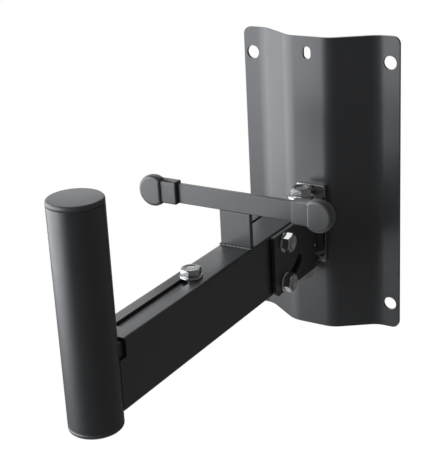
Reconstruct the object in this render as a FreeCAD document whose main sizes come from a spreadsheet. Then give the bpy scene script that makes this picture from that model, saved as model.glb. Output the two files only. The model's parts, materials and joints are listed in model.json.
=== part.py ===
import FreeCAD, Part
import math
import os
import Sketcher
from FreeCAD import Placement, Rotation, Vector

# Speaker wall bracket, millimetres.
# The origin is the middle of the wall plate's back, on the wall.
# X runs to the right seen from the room, Z up, and the arm stands out along -Y.

doc = FreeCAD.newDocument("SpeakerWallBracket")
sheet = doc.addObject("Spreadsheet::Sheet", "Sizes")

# Driving sizes
SIZES = {
    # wall plate, a folded sheet whose middle stands off the wall
    "plate_width": 137.0,
    "plate_height": 244.0,
    "plate_sheet": 2.5,
    "plate_rise": 21.7,
    "plate_middle": 34.8,
    "plate_fold_span": 98.0,
    "plate_bend": 18.75,
    "plate_corner": 6.0,
    "hole_diameter": 11.0,
    "hole_side_inset": 8.0,
    "hole_end_inset": 20.8,
    "keyslot_width": 6.8,
    "keyslot_length": 10.1,
    "keyslot_inset": 12.8,
    # pivot bracket on the raised middle
    "web_width": 31.0,
    "web_thick": 4.0,
    "web_above_ear": 7.0,
    "web_tab_left": 10.0,
    "web_shoulder": 2.0,
    "ear_thick": 4.0,
    "ear_nose": 12.0,
    "swivel_reach": 11.8,
    "bracket_screw_span": 30.0,
    # clevis that turns on the swivel bolt
    "clevis_sheet": 3.0,
    "clevis_margin": 0.3,
    "clevis_bend": 2.0,
    "clevis_web_reach": 7.5,
    "clevis_nose": 15.5,
    "clevis_corner_low": 5.0,
    "clevis_corner_high": 1.5,
    "tilt_reach": 61.0,
    "tilt_above_middle": 15.7,
    "lock_radius": 32.0,
    "tilt_range": 45.0,
    "lock_slot_width": 8.8,
    # rectangular arm
    "arm_middle": -33.2,
    "arm_width": 28.4,
    "arm_height": 48.0,
    "arm_wall": 2.0,
    "arm_corner": 2.6,
    "arm_tail": 28.0,
    "arm_notch_depth": 12.4,
    "clamp_land": 34.2,
    "clamp_slot_width": 9.0,
    "clamp_travel": 80.0,
    # sliding tube with the speaker post
    "slider_wall": 2.0,
    "slider_back_gap": 11.2,
    "post_reach": 276.2,
    "post_diameter": 35.0,
    "post_wall": 2.0,
    "post_above_middle": 119.0,
    "post_below_middle": 30.6,
    "post_cap_rim": 3.0,
    "post_cap_skirt": 12.0,
    # rest that the back of the speaker leans on
    "rest_forward": 41.0,
    "rest_sheet": 4.0,
    "rest_stem_width": 24.6,
    "rest_stem_height": 26.7,
    "rest_weld": 2.4,
    "rest_bar_height": 14.9,
    "rest_bar_length": 136.0,
    "pad_sleeve_start": 48.0,
    "pad_sleeve_front": 3.4,
    "pad_sleeve_back": 1.5,
    "pad_sleeve_height": 17.6,
    "pad_round": 1.4,
    "pad_mouth_round": 1.0,
    "pad_head_side": 60.8,
    "pad_head_end": 80.2,
    "pad_head_radius": 12.0,
    "pad_head_front": 5.2,
    "pad_head_back": 3.0,
    "pad_face_round": 2.7,
    "pad_side_round": 1.8,
    "pad_back_round": 8.0,
    "pad_lift": 0.6,
    # turns of the bolt heads, in degrees
    "swivel_head_turn": 31.0,
    "swivel_nut_turn": 12.0,
    "clamp_head_turn": 20.0,
    "tilt_head_turn": 17.0,
    "lock_head_turn": 8.0,
    # fasteners
    "m8_diameter": 8.0,
    "m8_flats": 13.0,
    "m8_head": 5.3,
    "m8_nut": 6.5,
    "m8_washer": 16.0,
    "m8_washer_thick": 1.6,
    "m8_length": 50.0,
    "clamp_bolt_length": 20.0,
    "m10_diameter": 10.0,
    "m10_flats": 16.0,
    "m10_head": 6.4,
    "m10_nut": 8.0,
    "m10_washer": 21.0,
    "m10_washer_thick": 2.0,
    "m10_end": 1.8,
    "m6_diameter": 6.0,
    "m6_flats": 10.0,
    "m6_nut": 5.0,
    "m6_washer": 12.0,
    "m6_washer_thick": 1.6,
    "m6_head": 11.5,
    "m6_end": 1.5,
    "thrust_washer": 20.0,
    "thrust_gap": 1.0,
    # fits
    "bolt_fit": 0.15,
    "face_gap": 0.1,
    "clevis_gap": 0.6,
    "tube_gap": 0.2,
    "cope_gap": 0.3,
    "pad_fit": 0.05,
}
for row, (alias, number) in enumerate(SIZES.items(), start=1):
    sheet.set("A%d" % row, alias)
    sheet.set("B%d" % row, str(number))
    sheet.setAlias("B%d" % row, alias)
doc.recompute()

# Places that several pieces share, worked out from the sizes
PLATE_FRONT = "(-Sizes.plate_rise - Sizes.plate_sheet)"
WEB_FRONT = "(-Sizes.plate_rise - Sizes.plate_sheet - Sizes.web_thick)"
SWIVEL_Y = "(%s - Sizes.swivel_reach)" % WEB_FRONT
TILT_Y = "(%s - Sizes.tilt_reach)" % SWIVEL_Y
TILT_Z = "(Sizes.arm_middle + Sizes.tilt_above_middle)"
LOCK_Z = "(%s - Sizes.lock_radius)" % TILT_Z
POST_Y = "(%s - Sizes.post_reach)" % SWIVEL_Y
CLAMP_Y = "(%s + Sizes.clamp_land + Sizes.clamp_travel)" % POST_Y
ARM_TOP = "(Sizes.arm_middle + Sizes.arm_height / 2)"
ARM_BOTTOM = "(Sizes.arm_middle - Sizes.arm_height / 2)"
CLEVIS_HEIGHT = "(Sizes.arm_height + Sizes.clevis_margin)"
CLEVIS_TOP = "(Sizes.arm_middle + %s / 2)" % CLEVIS_HEIGHT
CLEVIS_BOTTOM = "(Sizes.arm_middle - %s / 2)" % CLEVIS_HEIGHT
CLEVIS_IN = "(Sizes.arm_width / 2 + Sizes.clevis_gap)"
CLEVIS_OUT = "(%s + Sizes.clevis_sheet)" % CLEVIS_IN
EAR_TOP = "(%s + Sizes.thrust_gap + Sizes.ear_thick)" % CLEVIS_TOP
EAR_BOTTOM = "(%s - Sizes.thrust_gap - Sizes.ear_thick)" % CLEVIS_BOTTOM
SLIDER_OUT = "(Sizes.arm_wall + Sizes.tube_gap)"
REST_FRONT = "(%s - Sizes.rest_forward)" % TILT_Y
REST_BACK = "(%s + Sizes.rest_sheet)" % REST_FRONT
BAR_BOTTOM = "(%s + Sizes.rest_stem_height)" % ARM_TOP
BAR_MIDDLE = "(%s + Sizes.rest_bar_height / 2)" % BAR_BOTTOM

PLANES = {"XY": "XY_Plane", "XZ": "XZ_Plane", "YZ": "YZ_Plane"}


def value(expression):
    """The number that an expression of the sheet's sizes stands for."""
    return float(sheet.evalExpression(str(expression)))


def new_body(name):
    body = doc.addObject("PartDesign::Body", name)
    body.Label = name
    return body


def plane_of(body, plane):
    for feature in body.Origin.OriginFeatures:
        if feature.Role == PLANES[plane]:
            return feature
    raise ValueError("no plane " + plane)


def new_sketch(body, plane, at="0"):
    """A sketch on one of the body's own planes, at a world coordinate along the plane's normal."""
    sketch = body.newObject("Sketcher::SketchObject", body.Label + "_sketch")
    sketch.AttachmentSupport = [(plane_of(body, plane), "")]
    sketch.MapMode = "FlatFace"
    sign = "-" if plane == "XZ" else ""
    sketch.setExpression("AttachmentOffset.Base.z", "%s(%s)" % (sign, at))
    return sketch


def pin_point(sketch, geometry, point, across, up):
    """Hold one point of a sketch at two expressions."""
    for kind, expression in (("DistanceX", across), ("DistanceY", up)):
        index = sketch.addConstraint(
            Sketcher.Constraint(kind, -1, 1, geometry, point, value(expression)))
        sketch.setExpression("Constraints[%d]" % index, str(expression))


def outline(sketch, points):
    """A closed outline of straight lines through points given as expressions."""
    places = [Vector(value(a), value(b), 0) for a, b in points]
    first = sketch.GeometryCount
    count = len(points)
    for i in range(count):
        sketch.addGeometry(Part.LineSegment(places[i], places[(i + 1) % count]), False)
    for i in range(count):
        following = first + (i + 1) % count
        sketch.addConstraint(Sketcher.Constraint("Coincident", first + i, 2, following, 1))
    for i, (across, up) in enumerate(points):
        pin_point(sketch, first + i, 1, across, up)


def rectangle(sketch, left, right, low, high):
    outline(sketch, [(left, low), (right, low), (right, high), (left, high)])


def circle(sketch, across, up, diameter):
    middle = Vector(value(across), value(up), 0)
    shape = Part.Circle(middle, Vector(0, 0, 1), value(diameter) / 2)
    geometry = sketch.addGeometry(shape, False)
    pin_point(sketch, geometry, 3, across, up)
    index = sketch.addConstraint(Sketcher.Constraint("Diameter", geometry, value(diameter)))
    sketch.setExpression("Constraints[%d]" % index, str(diameter))


def hexagon(sketch, flats):
    """A regular hexagon about the sketch's origin, measured across its flats."""
    corner = "%s / sqrt(3)" % flats
    outline(sketch, [("%s * cos(%d deg)" % (corner, 60 * i), "%s * sin(%d deg)" % (corner, 60 * i))
                     for i in range(6)])


def long_hole(sketch, across, low, high, width):
    """A slot with round ends that runs up the sketch, from centre low to centre high."""
    x, y0, y1, r = value(across), value(low), value(high), value(width) / 2
    axis = Vector(0, 0, 1)
    top = sketch.addGeometry(
        Part.ArcOfCircle(Part.Circle(Vector(x, y1, 0), axis, r), 0, math.pi), False)
    left = sketch.addGeometry(Part.LineSegment(Vector(x - r, y1, 0), Vector(x - r, y0, 0)), False)
    bottom = sketch.addGeometry(
        Part.ArcOfCircle(Part.Circle(Vector(x, y0, 0), axis, r), math.pi, 2 * math.pi), False)
    right = sketch.addGeometry(Part.LineSegment(Vector(x + r, y0, 0), Vector(x + r, y1, 0)), False)
    for one, other in ((top, left), (left, bottom), (bottom, right), (right, top)):
        sketch.addConstraint(Sketcher.Constraint("Tangent", one, 2, other, 1))
    pin_point(sketch, top, 3, across, high)
    pin_point(sketch, bottom, 3, across, low)
    index = sketch.addConstraint(Sketcher.Constraint("Radius", top, r))
    sketch.setExpression("Constraints[%d]" % index, "%s / 2" % width)


def rounded_rectangle(sketch, left, right, low, high, radius):
    """A rectangle whose corners are arcs of one radius."""
    r = value(radius)
    inner = [("%s - %s" % (right, radius), "%s - %s" % (high, radius)),
             ("%s + %s" % (left, radius), "%s - %s" % (high, radius)),
             ("%s + %s" % (left, radius), "%s + %s" % (low, radius)),
             ("%s - %s" % (right, radius), "%s + %s" % (low, radius))]
    centres = [Vector(value(a), value(b), 0) for a, b in inner]
    turns = [Vector(1, 0, 0), Vector(0, 1, 0), Vector(-1, 0, 0), Vector(0, -1, 0)]
    chain = []
    for i in range(4):
        first = i * math.pi / 2
        ring = Part.Circle(centres[i], Vector(0, 0, 1), r)
        chain.append(sketch.addGeometry(Part.ArcOfCircle(ring, first, first + math.pi / 2), False))
        turn = turns[(i + 1) % 4] * r
        side = Part.LineSegment(centres[i] + turn, centres[(i + 1) % 4] + turn)
        chain.append(sketch.addGeometry(side, False))
    for i in range(8):
        sketch.addConstraint(Sketcher.Constraint("Tangent", chain[i], 2, chain[(i + 1) % 8], 1))
    for i, (across, up) in enumerate(inner):
        pin_point(sketch, chain[2 * i], 3, across, up)
    index = sketch.addConstraint(Sketcher.Constraint("Radius", chain[0], r))
    sketch.setExpression("Constraints[%d]" % index, radius)


def add_feature(body, kind, sketch):
    feature = body.newObject("PartDesign::" + kind, body.Label + "_" + kind.lower())
    feature.Profile = sketch
    body.Tip = feature
    return feature


def pad(body, sketch, length, backwards=False):
    """Material from a sketch, along its normal or against it."""
    feature = add_feature(body, "Pad", sketch)
    feature.setExpression("Length", str(length))
    feature.Reversed = backwards
    doc.recompute()
    return feature


def cut(body, sketch, length=None):
    """A pocket that runs against the sketch's normal, right through where no length is given."""
    before = body.Shape.Volume
    feature = add_feature(body, "Pocket", sketch)
    if length is None:
        feature.Type = "ThroughAll"
    else:
        feature.setExpression("Length", str(length))
    doc.recompute()
    if body.Shape.Volume > before - 0.01:
        raise ValueError("a pocket in %s removes nothing" % body.Label)
    return feature


def turned(body, kind, sketch, angle="360 deg", axis="V_Axis", backwards=False):
    """A Revolution or Groove of a sketch about one of the sketch's own axes."""
    feature = add_feature(body, kind, sketch)
    feature.ReferenceAxis = (sketch, [axis])
    feature.setExpression("Angle", angle)
    feature.Reversed = backwards
    doc.recompute()
    return feature


def soften(body, test, radius, kind="Fillet"):
    """Round (or chamfer) every edge of the body that passes a test."""
    base = body.Tip
    names = ["Edge%d" % (i + 1) for i, edge in enumerate(base.Shape.Edges) if test(edge)]
    if not names:
        raise ValueError("no edge to soften on " + body.Label)
    feature = body.newObject("PartDesign::" + kind, body.Label + "_" + kind.lower())
    feature.Base = (base, names)
    feature.setExpression("Radius" if kind == "Fillet" else "Size", str(radius))
    body.Tip = feature
    doc.recompute()
    if "Invalid" in feature.State:
        raise ValueError("the %s on %s fails" % (kind.lower(), body.Label))
    return feature


def straight_along(edge, axis):
    """Whether an edge is a straight line along the world axis x, y or z."""
    if edge.Curve.TypeId != "Part::GeomLine":
        return False
    direction = edge.tangentAt(edge.FirstParameter)
    return abs(abs(getattr(direction, axis)) - 1) < 1e-4


def near(edge, x=None, y=None, z=None, within=0.05):
    """Whether an edge's middle has the given coordinates, where they are given."""
    middle = edge.valueAt((edge.FirstParameter + edge.LastParameter) / 2)
    wanted = ((x, middle.x), (y, middle.y), (z, middle.z))
    return all(w is None or abs(value(w) - m) < within for w, m in wanted)


def flat_in_y(edge, y):
    """Whether an edge lies whole in the plane of one y."""
    box = edge.BoundBox
    return abs(box.YMin - value(y)) < 0.02 and abs(box.YMax - value(y)) < 0.02


def place(body, x, y, z, rotation=Rotation()):
    """Set a piece that was made about its own origin where it belongs."""
    body.Placement = Placement(Vector(0, 0, 0), rotation)
    for axis, expression in (("x", x), ("y", y), ("z", z)):
        body.setExpression("Placement.Base." + axis, str(expression))
    doc.recompute()


def upright(turn):
    """A rotation about the vertical, from a size in degrees."""
    return Rotation(Vector(0, 0, 1), value(turn))


# Fasteners, each made upright about its own origin

def trim_corners(body, flats, low, high, both=False):
    """The cone that is turned on a hexagon's corners, at its top end or at both."""
    far = "(%s / sqrt(3) + 0.5)" % flats
    close = "(%s * 0.475)" % flats
    drop = "((%s - %s) * tan(30 deg))" % (far, close)
    sketch = new_sketch(body, "XZ")
    outline(sketch, [(close, high), (far, "%s - %s" % (high, drop)), (far, high)])
    if both:
        outline(sketch, [(close, low), (far, low), (far, "%s + %s" % (low, drop))])
    turned(body, "Groove", sketch)


def hex_bolt(name, size, length):
    """A hexagon bolt whose head stands on z = 0, with the dished top of a pressed head."""
    diameter, flats, head = ("Sizes.%s_%s" % (size, s) for s in ("diameter", "flats", "head"))
    body = new_body(name)
    sketch = new_sketch(body, "XY")
    hexagon(sketch, flats)
    pad(body, sketch, head)
    trim_corners(body, flats, "0", head)
    sketch = new_sketch(body, "XZ")
    radius = "(%s / 2)" % diameter
    end = "(%s * 0.1)" % diameter
    outline(sketch, [("0", "0"), (radius, "0"), (radius, "-(%s) + %s" % (length, end)),
                     ("%s - %s" % (radius, end), "-(%s)" % length), ("0", "-(%s)" % length)])
    turned(body, "Revolution", sketch)
    sketch = new_sketch(body, "XY", head)
    circle(sketch, "0", "0", "%s * 0.62" % flats)
    cut(body, sketch, "%s * 0.14" % head)
    return body


def hex_nut(name, size):
    """A hexagon nut that stands on z = 0."""
    diameter, flats, thick = ("Sizes.%s_%s" % (size, s) for s in ("diameter", "flats", "nut"))
    body = new_body(name)
    sketch = new_sketch(body, "XY")
    hexagon(sketch, flats)
    circle(sketch, "0", "0", "%s + Sizes.bolt_fit" % diameter)
    pad(body, sketch, thick)
    trim_corners(body, flats, "0", thick, both=True)
    return body


def washer(name, outside, inside, thick):
    """A flat washer that stands on z = 0."""
    body = new_body(name)
    sketch = new_sketch(body, "XY")
    circle(sketch, "0", "0", outside)
    circle(sketch, "0", "0", inside)
    pad(body, sketch, thick)
    return body


# Wall plate: one folded sheet, two flanges on the wall and a raised middle

def wall_plate():
    body = new_body("wall_plate")
    half = "Sizes.plate_width / 2"
    fold = "Sizes.plate_fold_span / 2"
    middle = "Sizes.plate_middle / 2"
    lean = "tan(atan(Sizes.plate_rise / (%s - %s)) / 2)" % (fold, middle)
    shift = "Sizes.plate_sheet * %s" % lean
    back = [(half, "0"), (fold, "0"), (middle, "-Sizes.plate_rise")]
    front = [("%s + %s" % (middle, shift), PLATE_FRONT),
             ("%s + %s" % (fold, shift), "-Sizes.plate_sheet"), (half, "-Sizes.plate_sheet")]
    left = [("-(%s)" % x, y) for x, y in reversed(back)]
    left_front = [("-(%s)" % x, y) for x, y in reversed(front)]
    sketch = new_sketch(body, "XY", "-Sizes.plate_height / 2")
    outline(sketch, back + left + left_front + front)
    pad(body, sketch, "Sizes.plate_height")
    wide = "Sizes.plate_bend + Sizes.plate_sheet"
    for x, y, radius in ((fold, "0", wide), front[1] + ("Sizes.plate_bend",),
                         (middle, "-Sizes.plate_rise", "Sizes.plate_bend"), front[0] + (wide,)):
        for side in ("(%s)" % x, "-(%s)" % x):
            soften(body, lambda e: straight_along(e, "z") and near(e, x=side, y=y), radius)
    corner = value(half)
    top = value("Sizes.plate_height / 2")
    soften(body, lambda e: straight_along(e, "y") and abs(abs(e.CenterOfMass.x) - corner) < 0.05
           and abs(abs(e.CenterOfMass.z) - top) < 0.05, "Sizes.plate_corner")
    sketch = new_sketch(body, "XZ", "%s - 1" % PLATE_FRONT)
    for side in ("-", ""):
        for up in ("-", ""):
            circle(sketch, side + "(%s - Sizes.hole_side_inset)" % half,
                   up + "(Sizes.plate_height / 2 - Sizes.hole_end_inset)", "Sizes.hole_diameter")
    cut(body, sketch)
    sketch = new_sketch(body, "XZ", "%s - 1" % PLATE_FRONT)
    run = "(Sizes.keyslot_length - Sizes.keyslot_width) / 2"
    height = "(Sizes.plate_height / 2 - Sizes.keyslot_inset)"
    long_hole(sketch, "0", "%s - %s" % (height, run), "%s + %s" % (height, run),
              "Sizes.keyslot_width")
    cut(body, sketch)
    sketch = new_sketch(body, "XZ", "%s - 1" % PLATE_FRONT)
    for up in ("-", "+"):
        circle(sketch, "0", "Sizes.arm_middle %s Sizes.bracket_screw_span / 2" % up,
               "Sizes.m6_diameter + 2 * Sizes.bolt_fit")
    cut(body, sketch)
    return body


# Pivot bracket: a back web with two ears that hold the swivel bolt

def pivot_bracket():
    body = new_body("pivot_bracket")
    half = "Sizes.web_width / 2"
    top = "(%s + Sizes.web_above_ear)" % EAR_TOP
    shoulder = "(%s + Sizes.web_shoulder)" % EAR_TOP
    sketch = new_sketch(body, "XZ", PLATE_FRONT)
    outline(sketch, [("-" + half, EAR_BOTTOM), (half, EAR_BOTTOM), (half, top),
                     ("-Sizes.web_tab_left", top), ("-Sizes.web_tab_left", shoulder),
                     ("-" + half, shoulder)])
    pad(body, sketch, "Sizes.web_thick")
    soften(body, lambda e: straight_along(e, "y"), "1.5")
    for ear in (EAR_TOP, "%s + Sizes.ear_thick" % EAR_BOTTOM):
        for shape in ("neck", "nose"):
            sketch = new_sketch(body, "XY", ear)
            if shape == "neck":
                rectangle(sketch, "-Sizes.ear_nose", "Sizes.ear_nose", SWIVEL_Y, WEB_FRONT)
            else:
                circle(sketch, "0", SWIVEL_Y, "2 * Sizes.ear_nose")
            pad(body, sketch, "Sizes.ear_thick", backwards=True)
    sketch = new_sketch(body, "XY", EAR_TOP)
    circle(sketch, "0", SWIVEL_Y, "Sizes.m10_diameter + Sizes.bolt_fit")
    cut(body, sketch)
    for up in ("-", "+"):
        height = "Sizes.arm_middle %s Sizes.bracket_screw_span / 2" % up
        sketch = new_sketch(body, "XZ", WEB_FRONT)
        circle(sketch, "0", height, "Sizes.m6_diameter + 2 * Sizes.bolt_fit")
        cut(body, sketch, "Sizes.web_thick")
        rim = [edge for edge in body.Shape.Edges
               if flat_in_y(edge, WEB_FRONT) and near_circle(edge, "0", height)]
        if len(rim) != 1:
            raise ValueError("no rim for a screw's countersink")
        wanted = rim[0].CenterOfMass
        soften(body, lambda e: e.CenterOfMass.distanceToPoint(wanted) < 0.01
               and near_circle(e, "0", height),
               "(Sizes.m6_head - Sizes.m6_diameter) / 2", kind="Chamfer")
    return body


def near_circle(edge, x, z):
    """Whether an edge is a circle about a line along Y at x and z."""
    if edge.Curve.TypeId != "Part::GeomCircle":
        return False
    centre = edge.Curve.Center
    return abs(centre.x - value(x)) < 0.02 and abs(centre.z - value(z)) < 0.02


def bracket_screw(name, height):
    """A countersunk screw through the web and the wall plate, with its washer and nut behind."""
    reach = "(Sizes.web_thick + Sizes.plate_sheet + Sizes.m6_washer_thick + Sizes.m6_nut"
    reach += " + Sizes.m6_end)"
    radius = "Sizes.m6_diameter / 2"
    head = "Sizes.m6_head / 2"
    body = new_body(name + "_screw")
    sketch = new_sketch(body, "XZ")
    outline(sketch, [("0", "0"), (head, "0"), (radius, "-(%s - %s)" % (head, radius)),
                     (radius, "-" + reach), ("0", "-" + reach)])
    turned(body, "Revolution", sketch)
    sketch = new_sketch(body, "XY")
    hexagon(sketch, "Sizes.m6_diameter * 2 / 3")
    cut(body, sketch, "Sizes.m6_diameter / 3")
    towards_room = Rotation(Vector(1, 0, 0), 90)
    place(body, "0", WEB_FRONT, height, towards_room)
    plate_back = "-Sizes.plate_rise"
    ring = washer(name + "_washer", "Sizes.m6_washer", "Sizes.m6_diameter + 2 * Sizes.bolt_fit",
                  "Sizes.m6_washer_thick")
    place(ring, "0", "%s + Sizes.m6_washer_thick" % plate_back, height, towards_room)
    nut = hex_nut(name + "_nut", "m6")
    place(nut, "0", "%s + Sizes.m6_washer_thick + Sizes.m6_nut" % plate_back, height,
          towards_room)


# Swivel: the upright bolt through both ears

def swivel_hardware():
    under_head = "(%s + Sizes.m10_washer_thick)" % EAR_TOP
    length = "(%s - %s + 2 * Sizes.m10_washer_thick + Sizes.m10_nut + Sizes.m10_end)" % (
        EAR_TOP, EAR_BOTTOM)
    bolt = hex_bolt("swivel_bolt", "m10", length)
    place(bolt, "0", SWIVEL_Y, under_head, upright("Sizes.swivel_head_turn"))
    hole = "Sizes.m10_diameter + 2 * Sizes.bolt_fit"
    ring = washer("swivel_head_washer", "Sizes.m10_washer", hole, "Sizes.m10_washer_thick")
    place(ring, "0", SWIVEL_Y, EAR_TOP)
    ring = washer("swivel_nut_washer", "Sizes.m10_washer", hole, "Sizes.m10_washer_thick")
    place(ring, "0", SWIVEL_Y, "%s - Sizes.m10_washer_thick" % EAR_BOTTOM)
    nut = hex_nut("swivel_nut", "m10")
    place(nut, "0", SWIVEL_Y, "%s - Sizes.m10_washer_thick - Sizes.m10_nut" % EAR_BOTTOM,
          upright("Sizes.swivel_nut_turn"))
    thick = "Sizes.thrust_gap - Sizes.face_gap"
    ring = washer("upper_thrust_washer", "Sizes.thrust_washer", hole, thick)
    place(ring, "0", SWIVEL_Y, "%s + Sizes.face_gap" % CLEVIS_TOP)
    ring = washer("lower_thrust_washer", "Sizes.thrust_washer", hole, thick)
    place(ring, "0", SWIVEL_Y, "%s - Sizes.thrust_gap" % CLEVIS_BOTTOM)


# Clevis: a folded U with an upright sleeve welded on its back

def arm_clevis():
    body = new_body("arm_clevis")
    front = "(%s - Sizes.clevis_nose)" % TILT_Y
    back = "(%s - Sizes.clevis_web_reach)" % SWIVEL_Y
    inside = "(%s - Sizes.clevis_sheet)" % back
    sketch = new_sketch(body, "XY", CLEVIS_BOTTOM)
    outline(sketch, [(CLEVIS_OUT, front), (CLEVIS_OUT, back), ("-" + CLEVIS_OUT, back),
                     ("-" + CLEVIS_OUT, front), ("-" + CLEVIS_IN, front),
                     ("-" + CLEVIS_IN, inside), (CLEVIS_IN, inside), (CLEVIS_IN, front)])
    pad(body, sketch, CLEVIS_HEIGHT)
    for x, y, radius in ((CLEVIS_OUT, back, "Sizes.clevis_bend + Sizes.clevis_sheet"),
                         (CLEVIS_IN, inside, "Sizes.clevis_bend")):
        for side in (x, "-" + x):
            soften(body, lambda e: straight_along(e, "z") and near(e, x=side, y=y), radius)
    for height, radius in ((CLEVIS_BOTTOM, "Sizes.clevis_corner_low"),
                           (CLEVIS_TOP, "Sizes.clevis_corner_high")):
        soften(body, lambda e: straight_along(e, "x") and near(e, y=front, z=height), radius)
    sketch = new_sketch(body, "YZ", "%s + 1" % CLEVIS_OUT)
    circle(sketch, TILT_Y, TILT_Z, "Sizes.m8_diameter + Sizes.bolt_fit")
    cut(body, sketch)
    # the curved slots are turned about the tilt axis, and end in a round hole each way
    before = body.Shape.Volume
    sketch = new_sketch(body, "XZ", TILT_Y)
    slot_half = "Sizes.lock_slot_width / 2"
    wide = "(%s + 1)" % CLEVIS_OUT
    sketch.setExpression("AttachmentOffset.Base.y", TILT_Z)
    rectangle(sketch, "-" + wide, wide, "-Sizes.lock_radius - %s" % slot_half,
              "-Sizes.lock_radius + %s" % slot_half)
    turned(body, "Groove", sketch, "Sizes.tilt_range * 1 deg", "H_Axis")
    if body.Shape.Volume > before - 0.01:
        raise ValueError("the curved slot removes nothing")
    if body.Shape.isInside(slot_middle(), 0.001, True):
        body.Tip.Reversed = True
        doc.recompute()
    sketch = new_sketch(body, "YZ", "%s + 1" % CLEVIS_OUT)
    for angle in ("0 deg", "Sizes.tilt_range * 1 deg"):
        circle(sketch, "%s + Sizes.lock_radius * sin(%s)" % (TILT_Y, angle),
               "%s - Sizes.lock_radius * cos(%s)" % (TILT_Z, angle), "Sizes.lock_slot_width")
    cut(body, sketch)
    return body


def slot_middle():
    """A point half-way along the curved slot, inside the right side plate's thickness."""
    angle = math.radians(value("Sizes.tilt_range") / 2)
    radius = value("Sizes.lock_radius")
    return Vector(value("%s + Sizes.clevis_sheet / 2" % CLEVIS_IN),
                  value(TILT_Y) + radius * math.sin(angle),
                  value(TILT_Z) - radius * math.cos(angle))


def pivot_sleeve():
    """The sleeve that turns on the swivel bolt, with the weld that holds it to the clevis."""
    body = new_body("pivot_sleeve")
    outside = "2 * Sizes.clevis_web_reach"
    weld = "Sizes.clevis_web_reach * 0.75"
    sketch = new_sketch(body, "XY", CLEVIS_BOTTOM)
    circle(sketch, "0", SWIVEL_Y, outside)
    pad(body, sketch, CLEVIS_HEIGHT)
    sketch = new_sketch(body, "XY", CLEVIS_BOTTOM)
    back = "(%s - Sizes.clevis_web_reach)" % SWIVEL_Y
    outline(sketch, [("-(%s)" % weld, back), (weld, back),
                     (weld + " * 0.9", "%s - Sizes.clevis_web_reach / 2" % SWIVEL_Y),
                     ("-(%s) * 0.9" % weld, "%s - Sizes.clevis_web_reach / 2" % SWIVEL_Y)])
    pad(body, sketch, CLEVIS_HEIGHT)
    sketch = new_sketch(body, "XY", "%s + 1" % CLEVIS_TOP)
    circle(sketch, "0", SWIVEL_Y, "Sizes.m10_diameter + Sizes.bolt_fit")
    cut(body, sketch)
    return body


def cross_bolt(name, height, gap):
    """A bolt across the clevis and the arm, with a washer each side and a nut on the left."""
    side = "(%s + %s)" % (CLEVIS_OUT, gap)
    to_right = Rotation(Vector(0, 1, 0), 90)
    bolt = hex_bolt(name + "_bolt", "m8", "Sizes.m8_length")
    head_turn = upright("Sizes.%s_head_turn" % name)
    place(bolt, "%s + Sizes.m8_washer_thick" % side, TILT_Y, height,
          to_right.multiply(head_turn))
    hole = "Sizes.m8_diameter + 2 * Sizes.bolt_fit"
    ring = washer(name + "_head_washer", "Sizes.m8_washer", hole, "Sizes.m8_washer_thick")
    place(ring, side, TILT_Y, height, to_right)
    ring = washer(name + "_nut_washer", "Sizes.m8_washer", hole, "Sizes.m8_washer_thick")
    place(ring, "-%s - Sizes.m8_washer_thick" % side, TILT_Y, height, to_right)
    nut = hex_nut(name + "_nut", "m8")
    place(nut, "-%s - Sizes.m8_washer_thick - Sizes.m8_nut" % side, TILT_Y, height, to_right)


# Arm: a rectangular tube, slotted on top for the clamp bolt and coped round the post

def tube_section(body, start, half_width, half_height, wall, radius, length):
    """A rectangular tube that runs out from the wall, with rounded corners."""
    low = "(Sizes.arm_middle - %s)" % half_height
    high = "(Sizes.arm_middle + %s)" % half_height
    sketch = new_sketch(body, "XZ", start)
    rectangle(sketch, "-" + half_width, half_width, low, high)
    pad(body, sketch, length)
    soften(body, lambda e: straight_along(e, "y"), radius)
    sketch = new_sketch(body, "XZ", "%s - %s" % (start, length))
    rectangle(sketch, "-(%s - %s)" % (half_width, wall), "%s - %s" % (half_width, wall),
              "%s + %s" % (low, wall), "%s - %s" % (high, wall))
    cut(body, sketch)


def arm_tube():
    body = new_body("arm_tube")
    back = "(%s + Sizes.arm_tail)" % TILT_Y
    cope = "(Sizes.post_diameter / 2 + Sizes.cope_gap)"
    front = "(%s + %s / 2)" % (POST_Y, cope)
    half_width, half_height = "Sizes.arm_width / 2", "Sizes.arm_height / 2"
    tube_section(body, back, half_width, half_height, "Sizes.arm_wall", "Sizes.arm_corner",
                 "(%s - %s)" % (back, front))
    sketch = new_sketch(body, "XY", "%s + 1" % ARM_TOP)
    circle(sketch, "0", POST_Y, "2 * %s" % cope)
    cut(body, sketch)
    # above this step the end is cut square, clear of the post
    sketch = new_sketch(body, "YZ", "%s + 1" % half_width)
    rectangle(sketch, "%s - 1" % front, "%s + %s" % (POST_Y, cope),
              "%s - Sizes.arm_notch_depth" % ARM_TOP, "%s + 1" % ARM_TOP)
    cut(body, sketch)
    sketch = new_sketch(body, "XY", "%s + 1" % ARM_TOP)
    long_hole(sketch, "0", "%s - Sizes.clamp_travel - Sizes.tube_gap" % CLAMP_Y,
              "%s + Sizes.tube_gap" % CLAMP_Y, "Sizes.clamp_slot_width")
    cut(body, sketch, "1 + 1.5 * Sizes.arm_wall")
    sketch = new_sketch(body, "YZ", "%s + 1" % half_width)
    for height in (TILT_Z, LOCK_Z):
        circle(sketch, TILT_Y, height, "Sizes.m8_diameter + Sizes.bolt_fit")
    cut(body, sketch)
    return body


# Sliding tube and speaker post

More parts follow.
